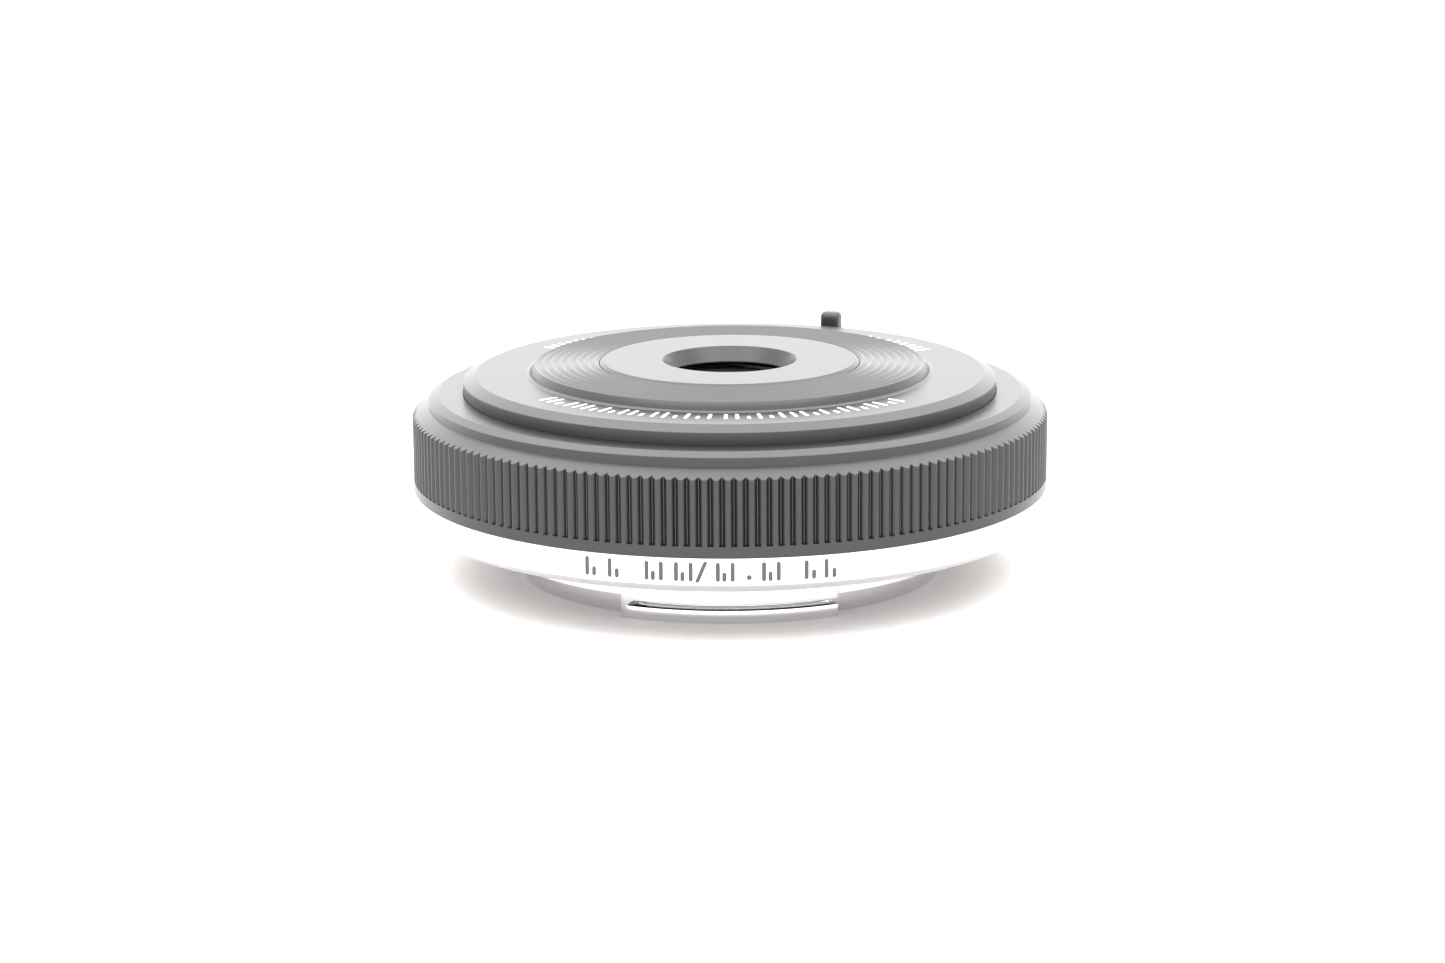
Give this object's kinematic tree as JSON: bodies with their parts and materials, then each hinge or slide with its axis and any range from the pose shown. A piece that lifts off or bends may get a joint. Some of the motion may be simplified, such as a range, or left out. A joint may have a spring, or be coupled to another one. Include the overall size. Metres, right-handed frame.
{
  "type": "prime camera lens",
  "caption": "Slim fixed-focal-length autofocus lens with a three-claw bayonet, ribbed grip, grooved front and a lever-driven built-in cover.",
  "frame": {"origin": "on the optical axis, at the rear end of the bayonet claws, which is what the lens stands on", "axes": "+Z along the optical axis towards the subject; the middle of one claw faces -Y, the cover lever is on the +Y side"},
  "size_m": [0.0604, 0.0604, 0.0202],
  "materials": {
    "mount_metal": "satin machined and bright-plated bayonet metal",
    "screw_steel": "turned steel",
    "shim_steel": "rolled spring steel",
    "black_plastic": "fine-grained black moulding",
    "black_screw": "blackened metal",
    "gold_contact": "gold-plated contact",
    "chassis_plastic": "glass-filled black moulding",
    "board_green": "solder-masked circuit board",
    "chip_black": "moulded chip package",
    "flex_amber": "polyimide ribbon",
    "coated_glass": "polished optical glass with a coating",
    "carrier_plastic": "low-friction black moulding",
    "coil_copper": "enamelled winding wire",
    "magnet_nickel": "nickel-plated magnet",
    "matt_black_sheet": "matt black coated sheet metal",
    "black_anodised": "satin black anodised aluminium",
    "silver_anodised": "fine-blasted clear anodised aluminium",
    "white_paint": "white paint fill"
  },
  "bodies": {
    "housing": {"mount_ring": "mount_metal", "mount_screws": "screw_steel", "mount_shim": "shim_steel", "rear_baffle": "black_plastic", "baffle_screws": "black_screw", "contact_block": "black_plastic", "contact_pins": "gold_contact", "chassis": "chassis_plastic", "guide_rods": "screw_steel", "main_board": "board_green", "board_chips": "chip_black", "flex_cable": "flex_amber", "rear_cell": "black_plastic", "rear_element": "coated_glass", "rear_retainer": "black_screw", "position_sensor": "chip_black", "focus_magnets": "magnet_nickel", "magnet_yokes": "shim_steel", "front_cell": "black_plastic", "aperture_plate": "matt_black_sheet", "second_element": "coated_glass", "first_element": "coated_glass", "front_retainer": "black_screw", "mechanism_plate": "black_plastic", "plate_screws": "screw_steel", "detent_leaf": "shim_steel", "blade_pivots": "screw_steel", "silver_band": "silver_anodised", "index_dot": "white_paint", "grip_ring": "black_anodised", "front_plate": "black_anodised", "grooved_ring": "black_anodised", "centre_disc": "black_anodised"},
    "cover_lever": {"drive_ring": "carrier_plastic", "lever_arm": "matt_black_sheet", "arm_screws": "screw_steel", "lever_knob": "black_anodised"},
    "lower_cover_blade": {"lower_blade": "matt_black_sheet", "lower_blade_stud": "screw_steel"},
    "upper_cover_blade": {"upper_blade": "matt_black_sheet", "upper_blade_stud": "screw_steel"},
    "focus_unit": {"focus_carrier": "carrier_plastic", "focus_coil": "coil_copper", "third_element": "coated_glass", "fourth_element": "coated_glass", "fifth_element": "coated_glass", "focus_retainer": "black_screw", "scale_magnet": "magnet_nickel"}
  },
  "joints": [
    {"name": "lever_turn", "type": "hinge", "parent": "housing", "child": "cover_lever", "pos_m": [0, 0, 0.0176], "axis": [0, 0, 1], "range_deg": [0, 26]},
    {"name": "lower_blade_swing", "type": "hinge", "parent": "housing", "child": "lower_cover_blade", "pos_m": [0.0123, 0, 0.01818], "axis": [0, 0, 1], "range_deg": [0, 32.5]},
    {"name": "upper_blade_swing", "type": "hinge", "parent": "housing", "child": "upper_cover_blade", "pos_m": [-0.0123, 0, 0.01852], "axis": [0, 0, 1], "range_deg": [0, 32.5]},
    {"name": "focus_slide", "type": "slide", "parent": "housing", "child": "focus_unit", "axis": [0, 0, 1], "range_m": [-0.0008, 0.0008]}
  ],
  "couplings": [
    {"joint": "lower_blade_swing", "follows": "lever_turn", "ratio": 1.25},
    {"joint": "upper_blade_swing", "follows": "lever_turn", "ratio": 1.25}
  ]
}
